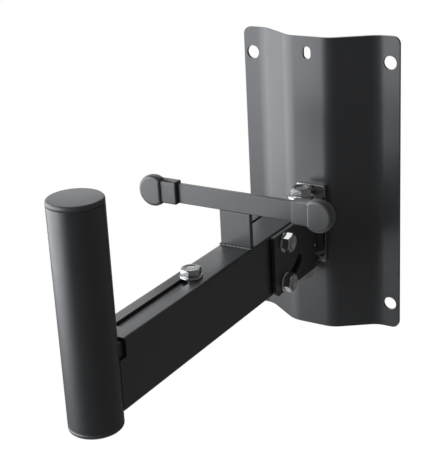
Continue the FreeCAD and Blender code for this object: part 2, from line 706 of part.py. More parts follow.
def extension_tube():
    body = new_body("extension_tube")
    back = "(%s - Sizes.slider_back_gap)" % TILT_Y
    half_width = "(Sizes.arm_width / 2 - %s)" % SLIDER_OUT
    half_height = "(Sizes.arm_height / 2 - %s)" % SLIDER_OUT
    tube_section(body, back, half_width, half_height, "Sizes.slider_wall", "1.2",
                 "(%s - %s - Sizes.post_diameter / 4)" % (back, POST_Y))
    sketch = new_sketch(body, "XY", "%s + 1" % ARM_TOP)
    circle(sketch, "0", POST_Y, "Sizes.post_diameter")
    cut(body, sketch)
    sketch = new_sketch(body, "XY", "%s + 1" % ARM_TOP)
    circle(sketch, "0", CLAMP_Y, "Sizes.m8_diameter + Sizes.bolt_fit")
    cut(body, sketch, "1 + %s + 1.5 * Sizes.slider_wall" % SLIDER_OUT)
    return body


def clamp_hardware():
    washer_top = "(%s + Sizes.face_gap + Sizes.m8_washer_thick)" % ARM_TOP
    bolt = hex_bolt("clamp_bolt", "m8", "Sizes.clamp_bolt_length")
    place(bolt, "0", CLAMP_Y, washer_top, upright("Sizes.clamp_head_turn"))
    hole = "Sizes.m8_diameter + 2 * Sizes.bolt_fit"
    ring = washer("clamp_washer", "Sizes.m8_washer", hole, "Sizes.m8_washer_thick")
    place(ring, "0", CLAMP_Y, "%s + Sizes.face_gap" % ARM_TOP)
    nut = hex_nut("clamp_nut", "m8")
    place(nut, "0", CLAMP_Y, "%s - %s - Sizes.slider_wall - Sizes.m8_nut" % (ARM_TOP, SLIDER_OUT))


def post_tube():
    body = new_body("post_tube")
    low = "(Sizes.arm_middle - Sizes.post_below_middle + Sizes.post_cap_rim)"
    high = "(Sizes.arm_middle + Sizes.post_above_middle - Sizes.post_cap_rim)"
    sketch = new_sketch(body, "XY", low)
    circle(sketch, "0", POST_Y, "Sizes.post_diameter")
    circle(sketch, "0", POST_Y, "Sizes.post_diameter - 2 * Sizes.post_wall")
    pad(body, sketch, "%s - %s" % (high, low))
    return body


def post_cap(name, height, turn):
    """A moulded end cap: a rim as wide as the post and a hollow skirt inside it."""
    body = new_body(name)
    rim = "Sizes.post_diameter / 2"
    skirt = "(%s - Sizes.post_wall - Sizes.pad_fit)" % rim
    wall = "Sizes.post_wall"
    depth = "Sizes.post_cap_skirt"
    edge = "Sizes.post_cap_rim / 2"
    sketch = new_sketch(body, "XZ")
    outline(sketch, [("0", "0"), ("%s - %s" % (skirt, wall), "0"),
                     ("%s - %s" % (skirt, wall), "-" + depth), (skirt, "-" + depth),
                     (skirt, "0"), (rim, "0"), (rim, "Sizes.post_cap_rim"),
                     ("0", "Sizes.post_cap_rim")])
    turned(body, "Revolution", sketch)
    soften(body, lambda e: near_ring(e, rim, "Sizes.post_cap_rim"), edge)
    place(body, "0", POST_Y, height, turn)
    return body


def near_ring(edge, radius, z):
    """Whether an edge is a level circle of one radius at one height."""
    if edge.Curve.TypeId != "Part::GeomCircle":
        return False
    same = abs(edge.Curve.Radius - value(radius)) < 0.02
    return same and abs(edge.CenterOfMass.z - value(z)) < 0.02


# Rest: an upright flat stem, a flat cross bar and a moulded pad on each end

def rest_stem():
    body = new_body("rest_stem")
    sketch = new_sketch(body, "YZ", "-Sizes.rest_stem_width / 2")
    outline(sketch, [(REST_BACK, BAR_BOTTOM), (REST_FRONT, BAR_BOTTOM),
                     (REST_FRONT, "%s + Sizes.rest_weld" % ARM_TOP),
                     ("%s - Sizes.rest_weld" % REST_FRONT, ARM_TOP),
                     ("%s + Sizes.rest_weld" % REST_BACK, ARM_TOP),
                     (REST_BACK, "%s + Sizes.rest_weld" % ARM_TOP)])
    pad(body, sketch, "Sizes.rest_stem_width")
    return body


def rest_bar():
    body = new_body("rest_bar")
    sketch = new_sketch(body, "XZ", REST_BACK)
    half = "Sizes.rest_bar_length / 2"
    rectangle(sketch, "-" + half, half, BAR_BOTTOM, "%s + Sizes.rest_bar_height" % BAR_BOTTOM)
    pad(body, sketch, "Sizes.rest_sheet")
    return body


def rest_pad(name, side):
    """A moulded end pad: a square sleeve on the bar and a thicker round head that faces out.

    It is drawn for the right end, level with its own middle, and turned over for the left end.
    """
    body = new_body(name)
    sleeve_back = "(%s + Sizes.pad_sleeve_back)" % REST_BACK
    sleeve_front = "(%s - Sizes.pad_sleeve_front)" % REST_FRONT
    head_back = "(%s + Sizes.pad_head_back)" % REST_BACK
    head_front = "(%s - Sizes.pad_head_front)" % REST_FRONT
    across = "(Sizes.pad_head_end - Sizes.pad_head_radius)"
    sketch = new_sketch(body, "XZ", head_back)
    circle(sketch, across, "0", "2 * Sizes.pad_head_radius")
    pad(body, sketch, "(%s - %s)" % (head_back, head_front))
    soften(body, lambda e: flat_in_y(e, head_front), "Sizes.pad_face_round")
    soften(body, lambda e: flat_in_y(e, head_back), "Sizes.pad_back_round")
    sketch = new_sketch(body, "XY", "Sizes.pad_head_radius + 1")
    rectangle(sketch, "Sizes.pad_sleeve_start", "Sizes.pad_head_side", "%s - 1" % head_front,
              "%s + 1" % head_back)
    cut(body, sketch)
    soften(body, lambda e: straight_along(e, "z")
           and near(e, x="Sizes.pad_head_side", y=head_front), "Sizes.pad_side_round")
    sketch = new_sketch(body, "YZ", "Sizes.pad_sleeve_start")
    rounded_rectangle(sketch, sleeve_front, sleeve_back, "-Sizes.pad_sleeve_height / 2",
                      "Sizes.pad_sleeve_height / 2", "Sizes.pad_round")
    pad(body, sketch, "%s - Sizes.pad_sleeve_start" % across)
    mouth = value("Sizes.pad_sleeve_start")
    soften(body, lambda e: in_mouth(e, mouth), "Sizes.pad_mouth_round")
    sketch = new_sketch(body, "XZ", "%s - Sizes.pad_fit" % REST_FRONT)
    bar = "(%d * Sizes.pad_lift)" % -side
    rectangle(sketch, "Sizes.pad_sleeve_start - 1", "Sizes.rest_bar_length / 2 + Sizes.pad_fit",
              "%s - Sizes.rest_bar_height / 2 - Sizes.pad_fit" % bar,
              "%s + Sizes.rest_bar_height / 2 + Sizes.pad_fit" % bar)
    cut(body, sketch, "Sizes.rest_sheet + 2 * Sizes.pad_fit")
    place(body, "0", "0", "%s + Sizes.pad_lift" % BAR_MIDDLE,
          Rotation(Vector(0, 1, 0), 0 if side > 0 else 180))
    return body


def in_mouth(edge, x):
    """Whether an edge lies whole in the plane of a pad's open end, at one x."""
    return abs(edge.BoundBox.XMin - x) < 0.01 and abs(edge.BoundBox.XMax - x) < 0.01


wall_plate()
pivot_bracket()
for name, up in (("lower_bracket", "-"), ("upper_bracket", "+")):
    bracket_screw(name, "Sizes.arm_middle %s Sizes.bracket_screw_span / 2" % up)
swivel_hardware()
arm_clevis()
pivot_sleeve()
cross_bolt("tilt", TILT_Z, "0")
cross_bolt("lock", LOCK_Z, "Sizes.face_gap")
arm_tube()
extension_tube()
clamp_hardware()
post_tube()
post_cap("post_top_cap", "Sizes.arm_middle + Sizes.post_above_middle - Sizes.post_cap_rim",
         Rotation())
post_cap("post_bottom_cap", "Sizes.arm_middle - Sizes.post_below_middle + Sizes.post_cap_rim",
         Rotation(Vector(1, 0, 0), 180))
rest_stem()
rest_bar()
rest_pad("rest_pad_right", 1)
rest_pad("rest_pad_left", -1)
doc.recompute()

# Every piece must be sound before it is written
for item in doc.Objects:
    if "Invalid" in item.State or "Error" in item.State:
        raise ValueError("%s is not sound: %s" % (item.Label, item.State))
os.makedirs("parts", exist_ok=True)
for item in doc.Objects:
    if item.TypeId == "PartDesign::Body":
        if item.Shape.isNull() or not item.Shape.isValid() or len(item.Shape.Solids) != 1:
            raise ValueError("%s has no sound single solid" % item.Label)
        item.Shape.exportStep("parts/%s.step" % item.Label)
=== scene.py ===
import json
import math
import bmesh
import bpy
from mathutils import Matrix, Vector

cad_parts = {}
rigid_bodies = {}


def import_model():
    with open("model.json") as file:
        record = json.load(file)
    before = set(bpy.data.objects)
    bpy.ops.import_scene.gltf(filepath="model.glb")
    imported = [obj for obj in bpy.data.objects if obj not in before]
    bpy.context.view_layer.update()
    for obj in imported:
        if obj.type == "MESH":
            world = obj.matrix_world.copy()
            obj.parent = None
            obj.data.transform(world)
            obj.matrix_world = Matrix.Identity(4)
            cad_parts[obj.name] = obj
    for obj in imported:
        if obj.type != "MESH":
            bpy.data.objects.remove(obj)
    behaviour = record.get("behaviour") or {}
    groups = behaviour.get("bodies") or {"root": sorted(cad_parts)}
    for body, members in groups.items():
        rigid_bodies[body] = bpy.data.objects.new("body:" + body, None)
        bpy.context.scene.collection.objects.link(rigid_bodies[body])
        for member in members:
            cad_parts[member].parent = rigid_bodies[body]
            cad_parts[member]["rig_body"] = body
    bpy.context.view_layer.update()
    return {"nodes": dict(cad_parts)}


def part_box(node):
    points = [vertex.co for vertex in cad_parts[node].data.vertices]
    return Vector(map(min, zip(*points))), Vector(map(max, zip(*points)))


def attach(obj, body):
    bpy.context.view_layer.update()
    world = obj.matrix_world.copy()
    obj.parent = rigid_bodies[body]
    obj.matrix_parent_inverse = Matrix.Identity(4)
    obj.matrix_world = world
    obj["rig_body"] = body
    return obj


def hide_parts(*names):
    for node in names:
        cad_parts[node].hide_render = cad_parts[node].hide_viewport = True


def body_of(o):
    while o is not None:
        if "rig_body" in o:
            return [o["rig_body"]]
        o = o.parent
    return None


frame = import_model()
nodes = frame["nodes"]

# Wall plate: one sheet of 2.5 mm steel, punched flat and then folded in a
# press, so that its middle stands 21.7 mm off the wall between two flanges.
# Deburred, and powder coated in satin black.


class Wire:
    """A socket that takes part in Python sums."""

    def __init__(self, coat, socket):
        self.coat = coat
        self.socket = socket

    def _sum(self, operation, *values):
        return self.coat.node("ShaderNodeMath", {"operation": operation}, dict(enumerate(values)))

    def __add__(self, other):
        return self._sum("ADD", self, other)

    def __sub__(self, other):
        return self._sum("SUBTRACT", self, other)

    def __rsub__(self, other):
        return self._sum("SUBTRACT", other, self)

    def __mul__(self, other):
        return self._sum("MULTIPLY", self, other)

    __radd__ = __add__
    __rmul__ = __mul__


class Coat:
    """A finish of one piece or of the studio, whose nodes are added one call at a time."""

    def __init__(self, name, kind=bpy.data.materials):
        self.material = kind.new(name)
        self.material.use_nodes = True
        self.tree = self.material.node_tree
        self.tree.nodes.clear()
        self.place = self.node("ShaderNodeTexCoord", output="Object")

    def node(self, kind, settings=None, inputs=None, output=0):
        made = self.tree.nodes.new(kind)
        for name, value in (settings or {}).items():
            if name == "stops":
                ramp = made.color_ramp
                while len(ramp.elements) < len(value):
                    ramp.elements.new(1.0)
                for element, (at, tone) in zip(ramp.elements, value):
                    element.position = at
                    element.color = (tone, tone, tone, 1)
            else:
                setattr(made, name, value)
        for name, value in (inputs or {}).items():
            if isinstance(value, Wire):
                self.tree.links.new(value.socket, made.inputs[name])
            else:
                made.inputs[name].default_value = value
        return Wire(self, made.outputs[output]) if output is not None else None

    def noise(self, scale, detail=3.0, roughness=0.5, stretch=None):
        where = self.place
        if stretch:
            where = self.node("ShaderNodeMapping", {}, {"Vector": where, "Scale": stretch})
        return self.node("ShaderNodeTexNoise", {},
                         {"Vector": where, "Scale": scale, "Detail": detail,
                          "Roughness": roughness})

    def ramp(self, value, *stops):
        """A value that follows another through stops."""
        return self.node("ShaderNodeValToRGB", {"stops": stops}, {"Fac": value})

    def blend(self, factor, first, second):
        """A colour between two colours."""
        ends = {6: first, 7: second}
        ends = {k: (*v, 1) if isinstance(v, tuple) else v for k, v in ends.items()}
        return self.node("ShaderNodeMix", {"data_type": "RGBA"}, {0: factor, **ends}, output=2)

    def bump(self, height, depth, under=None):
        inputs = {"Height": height, "Distance": depth, "Strength": 1.0}
        if under is not None:
            inputs["Normal"] = under
        return self.node("ShaderNodeBump", {}, inputs)

    def finish(self, color, roughness, normal, metallic=0.0, ior=1.5, alpha=1.0):
        shader = self.node("ShaderNodeBsdfPrincipled", {}, {
            "Base Color": color, "Roughness": roughness, "Normal": normal,
            "Metallic": metallic, "IOR": ior, "Alpha": alpha})
        self.node("ShaderNodeOutputMaterial", {}, {"Surface": shader}, output=None)
        return self.material


def satin_black(name, tone=0.03, gloss=0.36, ior=1.8, handling=0.0):
    """Satin black powder: orange peel, cloudy gloss and a few pale specks of dust."""
    coat = Coat(name)
    clouds = coat.noise(26.0, 5.0, 0.6)
    smears = coat.noise(14.0, 3.0, 0.5, stretch=(1.0, 1.0, 0.25))
    peel = coat.noise(1100.0, 2.0, 0.5)
    grain = coat.noise(4200.0, 1.0, 0.5)
    specks = coat.ramp(coat.noise(2300.0, 0.0, 0.0), (0.79, 0.0), (0.84, 1.0))
    film = coat.blend(clouds, (tone * 0.84, tone * 0.88, tone * 0.95),
                      (tone * 1.1, tone * 1.15, tone * 1.23))
    color = coat.blend(specks * 0.5, film, (0.12, 0.12, 0.12))
    rough = gloss - 0.05 + clouds * 0.06 + smears * 0.05
    if handling:
        rubbed = coat.ramp(coat.noise(55.0, 4.0, 0.7), (0.5, 0.0), (0.7, 1.0))
        rough = rough - rubbed * handling
    normal = coat.bump(peel, 0.00002, coat.bump(grain, 0.000006))
    return coat.finish(color, rough, normal, ior=ior)


SHEET = 0.0025
PLATE_HALF_WIDTH = 0.0685
PLATE_HALF_HEIGHT = 0.122
PLATE_RISE = 0.0217
PLATE_FOLD = 0.049
PLATE_MIDDLE = 0.0174
BEND_INSIDE = 0.01875


def fold_runs():
    """The sheet's back in one half, from its middle out: length and turn of each run."""
    lean = math.atan2(PLATE_RISE, PLATE_FOLD - PLATE_MIDDLE)
    near = BEND_INSIDE * math.tan(lean / 2)
    far = (BEND_INSIDE + SHEET) * math.tan(lean / 2)
    slope = math.hypot(PLATE_RISE, PLATE_FOLD - PLATE_MIDDLE) - near - far
    return [(PLATE_MIDDLE - near, 0.0), (BEND_INSIDE * lean, lean), (slope, 0.0),
            ((BEND_INSIDE + SHEET) * lean, -lean), (PLATE_HALF_WIDTH - PLATE_FOLD - far, 0.0)]


def folded(along):
    """Where a point of the flat sheet lies once it is folded: its X and Y."""
    side = math.copysign(1.0, along)
    left, x, y, heading = abs(along), 0.0, -PLATE_RISE, 0.0
    for length, turn in fold_runs():
        part = min(left, length)
        swing = turn * part / length
        chord = part if not swing else 2 * part / swing * math.sin(swing / 2)
        x += chord * math.cos(heading + swing / 2)
        y += chord * math.sin(heading + swing / 2)
        heading += swing
        left -= part
    return side * x, y


def flat_half_width():
    """Half the width of the sheet before it is folded."""
    return sum(length for length, _ in fold_runs())


def punched(shape, across, up, radius, stretch=0.0):
    """The edge of a hole in the flat sheet, round or pulled to a slot."""
    ring = bmesh.ops.create_circle(shape, segments=48, radius=radius,
                                   matrix=Matrix.Translation((across, 0, up))
                                   @ Matrix.Rotation(math.pi / 2, 4, "X"))
    for vert in ring["verts"]:
        vert.co.z += math.copysign(stretch, vert.co.z - up)


def keep(shape, name, body, node, material, sharp=40):
    """Make a mesh of a shape, as a piece that stands for a CAD node and rides on its body."""
    bmesh.ops.recalc_face_normals(shape, faces=shape.faces)
    for face in shape.faces:
        face.smooth = True
    mesh = bpy.data.meshes.new(name)
    shape.to_mesh(mesh)
    shape.free()
    mesh.set_sharp_from_angle(angle=math.radians(sharp))
    piece = bpy.data.objects.new(name, mesh)
    bpy.context.scene.collection.objects.link(piece)
    mesh.materials.append(material)
    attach(piece, body)
    if node:
        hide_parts(node)
    return piece


def soft_edges(piece, width, angle=35):
    """The small round that a coat of powder or plating leaves on an edge."""
    bevel = piece.modifiers.new("soft_edges", "BEVEL")
    bevel.width = width
    bevel.segments = 3
    bevel.limit_method = "ANGLE"
    bevel.angle_limit = math.radians(angle)
    bevel.harden_normals = True
    return bevel


plate_black = satin_black("plate_black")
blank = bmesh.new()
half = flat_half_width()
corner = 0.006
anchor_hole, anchor_inset, anchor_height = 0.0055, 0.008, 0.1012
slot_height, slot_radius, slot_stretch = 0.1092, 0.0034, 0.00165
screw_hole, screw_heights = 0.00315, (-0.0482, -0.0182)
bend_steps = 10
for x, z in ((half, PLATE_HALF_HEIGHT), (-half, PLATE_HALF_HEIGHT),
             (-half, -PLATE_HALF_HEIGHT), (half, -PLATE_HALF_HEIGHT)):
    blank.verts.new((x, 0, z))
blank.faces.new(blank.verts)
bmesh.ops.bevel(blank, geom=blank.verts[:], offset=corner, offset_type="OFFSET", segments=8,
                profile=0.5, affect="VERTICES", material=-1)
bmesh.ops.delete(blank, geom=blank.faces[:], context="FACES_ONLY")
for side in (-1, 1):
    for up in (-1, 1):
        punched(blank, side * (half - anchor_inset), up * anchor_height, anchor_hole)
punched(blank, 0, slot_height, slot_radius, stretch=slot_stretch)
for up in screw_heights:
    punched(blank, 0, up, screw_hole)
bmesh.ops.triangle_fill(blank, use_beauty=True, use_dissolve=True, edges=blank.edges[:],
                        normal=(0, -1, 0))
start = 0.0
for length, turn in fold_runs():
    steps = bend_steps if turn else 1
    for step in range(1, steps + 1):
        for side in (-1, 1):
            bmesh.ops.bisect_plane(blank, geom=blank.verts[:] + blank.edges[:] + blank.faces[:],
                                   plane_co=(side * (start + length * step / steps), 0, 0),
                                   plane_no=(1, 0, 0), dist=0.000001)
    start += length
for vert in blank.verts:
    vert.co.x, vert.co.y = folded(vert.co.x)
plate = keep(blank, "folded_wall_plate", "wall_bracket", "wall_plate", plate_black)
thick = plate.modifiers.new("sheet", "SOLIDIFY")
thick.thickness = SHEET
thick.offset = -1.0
thick.use_even_offset = True
soft_edges(plate, 0.0005)

# Pivot bracket: a back plate of 4 mm steel with two ears that carry the
# swivel bolt. Welded, plated in bright zinc, and screwed to the folded plate
# with two countersunk M6 screws, whose nuts are behind it.


def bright_zinc(name, tone=0.5, gloss=0.15, lay=None):
    """Zinc plate: a fine frosted crystal, faint blue and straw tints, a rolled or turned lay."""
    coat = Coat(name)
    clouds = coat.noise(190.0, 4.0, 0.6)
    frost = coat.noise(2600.0, 2.0, 0.6)
    scratches = coat.noise(900.0, 3.0, 0.7, stretch=lay or (1.0, 1.0, 0.15))
    color = coat.blend(clouds, (tone * 0.94, tone * 0.98, tone * 1.05),
                       (tone * 1.16, tone * 1.12, tone * 1.02))
    rough = gloss - 0.06 + clouds * 0.1 + scratches * 0.08
    normal = coat.bump(frost, 0.000012, coat.bump(scratches, 0.00001))
    return coat.finish(color, rough, normal, metallic=1.0)


def eased(node, name, material, width, angle=30):
    """A CAD node's own shape, merged, with the small rounds that its finish gives its edges."""
    shape = bmesh.new()
    shape.from_mesh(nodes[node].data)
    bmesh.ops.remove_doubles(shape, verts=shape.verts[:], dist=0.000002)
    bmesh.ops.dissolve_limit(shape, angle_limit=math.radians(0.3), verts=shape.verts[:],
                             edges=shape.edges[:])
    shape.normal_update()
    outer = shape.edges.layers.float.new("bevel_weight_edge")
    for edge in shape.edges:
        if edge.is_manifold and edge.calc_face_angle_signed() > math.radians(angle):
            edge[outer] = 1.0
    piece = keep(shape, name, body_of(nodes[node])[0], node, material, sharp=angle)
    soft_edges(piece, width, angle).limit_method = "WEIGHT"


zinc_plate = bright_zinc("bracket_zinc")
eased("pivot_bracket", "plated_pivot_bracket", zinc_plate, 0.00025)
for level in ("lower", "upper"):
    eased(level + "_bracket_screw", level + "_countersunk_screw", zinc_plate,
          0.0001)
    eased(level + "_bracket_nut", level + "_plate_nut", zinc_plate, 0.0002)


def lathe(shape, outline, steps=72):
    """Turn a closed outline of radius and height about the upright axis."""
    ring = [shape.verts.new((radius, 0, height)) for radius, height in outline]
    edges = [shape.edges.new((a, b)) for a, b in zip(ring, ring[1:] + ring[:1])]
    bmesh.ops.spin(shape, geom=ring + edges, cent=(0, 0, 0), axis=(0, 0, 1), angle=math.tau,
                   steps=steps, use_merge=True)
    bmesh.ops.remove_doubles(shape, verts=shape.verts[:], dist=0.000001)
    axle = [edge for edge in shape.edges if not edge.link_faces]
    bmesh.ops.delete(shape, geom=axle, context="EDGES")


def point_along(shape, axis, place):
    """Lay what was made upright along one axis of the object, at its place."""
    turn = {"x": Matrix.Rotation(math.pi / 2, 4, "Y"), "y": Matrix.Rotation(-math.pi / 2, 4, "X"),
            "z": Matrix.Identity(4)}[axis]
    bmesh.ops.transform(shape, matrix=Matrix.Translation(place) @ turn, verts=shape.verts[:])


def pressed_washer(node, axis, bore, material):
    """A punched washer: one face rolled over at its rim, the other sharp."""
    low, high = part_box(node)
    i = "xyz".index(axis)
    middle = [(a + b) / 2 for a, b in zip(low, high)]
    thick = high[i] - low[i]
    rim = (high[(i + 1) % 3] - low[(i + 1) % 3]) / 2
    middle[i] = low[i]
    shape = bmesh.new()
    lathe(shape, [(bore, 0), (rim - 0.0001, 0), (rim, 0.0002), (rim, thick * 0.6),
                  (rim - thick * 0.15, thick * 0.88), (rim - thick * 0.4, thick),
                  (bore + thick * 0.25, thick), (bore, thick * 0.8)])
    point_along(shape, axis, middle)
    keep(shape, "pressed_" + node, body_of(nodes[node])[0], node, material)


washer_zinc = bright_zinc("washer_zinc", 0.5, 0.2, lay=(1.0, 1.0, 1.0))
M6_BORE = 0.0033
for level in ("lower", "upper"):
    pressed_washer(level + "_bracket_washer", "y", M6_BORE, washer_zinc)

# Swivel: an M10 hexagon bolt, upright through both ears and the sleeve
# between them, with a washer at each end, a nut below, and a nylon washer
# over and under the sleeve.


def hexagon_bolt(name, node, axis, under_head, size, length, thread, turn, material):
    """A cold headed bolt, its corners turned off, its top dished, its thread rolled."""
    flats, head, shank, pitch = size
    shape = bmesh.new()
    corner = flats / math.sqrt(3)
    crown = flats * 0.475
    bmesh.ops.create_circle(shape, segments=6, radius=corner,
                            matrix=Matrix.Rotation(math.radians(turn), 4, "Z"))
    bmesh.ops.subdivide_edges(shape, edges=shape.edges[:], cuts=7)
    foot = shape.edges[:]

    def carry_on(edges, radius=None, height=None, drop=None):
        """Extrude a ring of edges, and shape the new ring: its radius, its height or both."""
        made = bmesh.ops.extrude_edge_only(shape, edges=edges)["geom"]
        ring = [part for part in made if isinstance(part, bmesh.types.BMVert)]
        for vert in ring:
            reach = math.hypot(vert.co.x, vert.co.y)
            if radius is not None:
                vert.co.x *= radius / reach
                vert.co.y *= radius / reach
            if height is not None:
                vert.co.z = height
            if drop is not None:
                vert.co.z = head - max(0.0, reach - crown) * drop
        return [part for part in made if isinstance(part, bmesh.types.BMEdge)
                and part.verts[0] in ring and part.verts[1] in ring]

    top = carry_on(foot, drop=math.tan(math.radians(30)))
    top = carry_on(top, radius=crown, height=head)
    for reach, level in ((0.34, 1.0), (0.32, 0.965), (0.27, 0.89), (0.2, 0.85), (0.1, 0.87)):
        top = carry_on(top, radius=flats * reach, height=head * level)
    bmesh.ops.edgeloop_fill(shape, edges=top)
    low = carry_on(foot, radius=crown, height=-0.0002)
    low = carry_on(low, radius=shank + 0.0004, height=-0.0002)
    low = carry_on(low, radius=shank, height=-0.0007)
    low = carry_on(low, radius=shank, height=thread - length)
    low = carry_on(low, radius=shank - pitch * 0.55, height=thread - length - pitch * 0.4)
    bmesh.ops.edgeloop_fill(shape, edges=low)
    turns = max(1, int((thread - pitch) / pitch))
    steps = 24
    tip = -length + pitch * 0.9
    side = [shape.verts.new((radius, 0, tip + at * pitch))
            for radius, at in ((shank - pitch * 0.58, 0.0), (shank, 0.44), (shank, 0.56),
                               (shank - pitch * 0.58, 1.0))]
    edges = [shape.edges.new(pair) for pair in zip(side, side[1:])]
    before = set(shape.verts)
    bmesh.ops.spin(shape, geom=side + edges, cent=(0, 0, 0), axis=(0, 0, 1),
                   dvec=(0, 0, pitch / steps), angle=math.tau * turns, steps=steps * turns)
    coil = side + [vert for vert in shape.verts if vert not in before]
    bmesh.ops.remove_doubles(shape, verts=coil, dist=0.00001)
    rims = [edge for edge in shape.edges if edge.is_boundary]
    bmesh.ops.edgeloop_fill(shape, edges=rims)
    bmesh.ops.create_cone(shape, cap_ends=True, segments=48, radius1=shank - pitch * 0.9,
                          radius2=shank - pitch * 0.2, depth=pitch * 1.5,
                          matrix=Matrix.Translation((0, 0, -length + pitch * 0.75)))
    point_along(shape, axis, under_head)
    keep(shape, name, body_of(nodes[node])[0], node, material, sharp=25)


bolt_zinc = bright_zinc("bolt_zinc", 0.55, 0.17, lay=(1.0, 1.0, 1.0))
# across flats, height of head, radius of shank, pitch of thread
M10 = (0.016, 0.0064, 0.005, 0.0015)
M10_BORE = 0.0053
swivel_y, swivel_thread, swivel_turn = -0.040, 0.016, 31
under_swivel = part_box("swivel_head_washer")[1][2]
swivel_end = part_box("swivel_bolt")[0][2]
hexagon_bolt("hexagon_swivel_bolt", "swivel_bolt", "z", (0, swivel_y, under_swivel), M10,
             under_swivel - swivel_end, swivel_thread, swivel_turn, bolt_zinc)
pressed_washer("swivel_head_washer", "z", M10_BORE, washer_zinc)
pressed_washer("swivel_nut_washer", "z", M10_BORE, washer_zinc)
eased("swivel_nut", "hexagon_swivel_nut", bolt_zinc, 0.00025)


def natural_nylon(name):
    """Uncoloured nylon, a little waxy, with a turned face."""
    coat = Coat(name)
    clouds = coat.noise(300.0, 3.0, 0.5)
    color = coat.blend(clouds, (0.62, 0.6, 0.53), (0.74, 0.72, 0.64))
    return coat.finish(color, 0.42 + clouds * 0.1, coat.bump(clouds, 0.00002), ior=1.53)


nylon = natural_nylon("washer_nylon")
for height in ("upper", "lower"):
    pressed_washer(height + "_thrust_washer", "z", M10_BORE, nylon)

# Clevis: 3 mm steel folded to a U round the arm, with a round hole for the
# tilt bolt and a curved slot for the lock bolt in each side. A sleeve for
# the swivel bolt is welded up its back, and both are powder coated.
clevis_black = satin_black("clevis_black")
eased("arm_clevis", "folded_clevis", clevis_black, 0.0004)
eased("pivot_sleeve", "welded_sleeve", clevis_black, 0.0003)


def weld_bead(shape, start, end, radius, pitch=0.0006):
    """A run of weld metal between two points, one overlapping drop after another."""
    start, end = Vector(start), Vector(end)
    run = end - start
    drops = max(2, round(run.length / pitch))
    turn = run.to_track_quat("Z", "Y").to_matrix().to_4x4()
    for drop in range(drops + 1):
        spot = start + run * drop / drops
        swell = 1.0 + 0.06 * math.sin(drop * 1.3) + 0.04 * math.cos(drop * 0.37)
        size = Matrix.Diagonal((radius * swell, radius * swell, radius * 0.9, 1.0))
        bmesh.ops.create_uvsphere(shape, u_segments=14, v_segments=8, radius=1.0,
                                  matrix=Matrix.Translation(spot) @ turn @ size)


clevis_low, clevis_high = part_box("arm_clevis")
seam = bmesh.new()
seam_half, seam_back, seam_inset, seam_radius = 0.0066, 0.0004, 0.003, 0.0012
for side in (-1, 1):
    weld_bead(seam, (side * seam_half, clevis_high[1] + seam_back, clevis_low[2] + seam_inset),
              (side * seam_half, clevis_high[1] + seam_back, clevis_high[2] - seam_inset),
              seam_radius)
keep(seam, "sleeve_weld", "clevis", None, clevis_black)

# Tilt and lock bolts: two M8 hexagon bolts across the clevis and the arm,
# with a washer at each side and a nut on the left. The arm tips about the
# upper one, and the lower one runs in the curved slots.
M8 = (0.013, 0.0053, 0.004, 0.00125)
M8_BORE = 0.0043
tilt_y, cross_length, cross_thread = -0.101, 0.050, 0.016
for name, turn in (("tilt", 17), ("lock", 8)):
    low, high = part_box(name + "_bolt")
    height = (low[2] + high[2]) / 2
    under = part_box(name + "_head_washer")[1][0]
    hexagon_bolt("hexagon_%s_bolt" % name, name + "_bolt", "x", (under, tilt_y, height), M8,
                 cross_length, cross_thread, turn, bolt_zinc)
    pressed_washer(name + "_head_washer", "x", M8_BORE, washer_zinc)
    pressed_washer(name + "_nut_washer", "x", M8_BORE, washer_zinc)
    eased(name + "_nut", "hexagon_%s_nut" % name, bolt_zinc, 0.0002)

# Arm: a rectangular tube, slotted along its top for the clamp bolt, coped at
# its front end to fit against the post, and powder coated.
arm_black = satin_black("arm_black", handling=0.06)
eased("arm_tube", "slotted_arm", arm_black, 0.0004)
eased("extension_tube", "sliding_tube", satin_black("slider_black", handling=0.1),
      0.0003)

# Clamp: an M8 bolt and washer in the arm's slot. It holds the sliding tube
# where it is set, by a nut welded under the tube's top wall.
low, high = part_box("clamp_washer")
clamp_at = ((low[0] + high[0]) / 2, (low[1] + high[1]) / 2, high[2])
clamp_length, clamp_thread, clamp_turn = 0.020, 0.012, 20
hexagon_bolt("hexagon_clamp_bolt", "clamp_bolt", "z", clamp_at, M8, clamp_length, clamp_thread,
             clamp_turn, bolt_zinc)
pressed_washer("clamp_washer", "z", M8_BORE, washer_zinc)
eased("clamp_nut", "welded_clamp_nut", bolt_zinc, 0.0002)

# Post: a 35 mm round tube welded to the sliding tube, which the speaker's
# socket drops over, with a moulded cap pushed into each end.


def moulded(name, tone, gloss, ior=1.5, texture=0.00002):
    """Moulded black plastic with a fine spark eroded grain."""
    coat = Coat(name)
    clouds = coat.noise(48.0, 3.0, 0.5)
    grain = coat.noise(3200.0, 2.0, 0.6)
    color = coat.blend(clouds, (tone * 0.92, tone * 0.93, tone * 0.96),
                       (tone * 1.12, tone * 1.13, tone * 1.16))
    return coat.finish(color, gloss - 0.03 + clouds * 0.08, coat.bump(grain, texture), ior=ior)


post_black = satin_black("post_black", handling=0.05)
tube_low, tube_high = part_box("post_tube")
post_y = (tube_low[1] + tube_high[1]) / 2
post_radius = (tube_high[0] - tube_low[0]) / 2
wall = 0.002
shape = bmesh.new()
lathe(shape, [(post_radius - wall, 0), (post_radius, 0), (post_radius, tube_high[2] - tube_low[2]),
              (post_radius - wall, tube_high[2] - tube_low[2])], steps=128)
point_along(shape, "z", (0, post_y, tube_low[2]))
post = keep(shape, "round_post", "extension", "post_tube", post_black)
soft_edges(post, 0.0004)

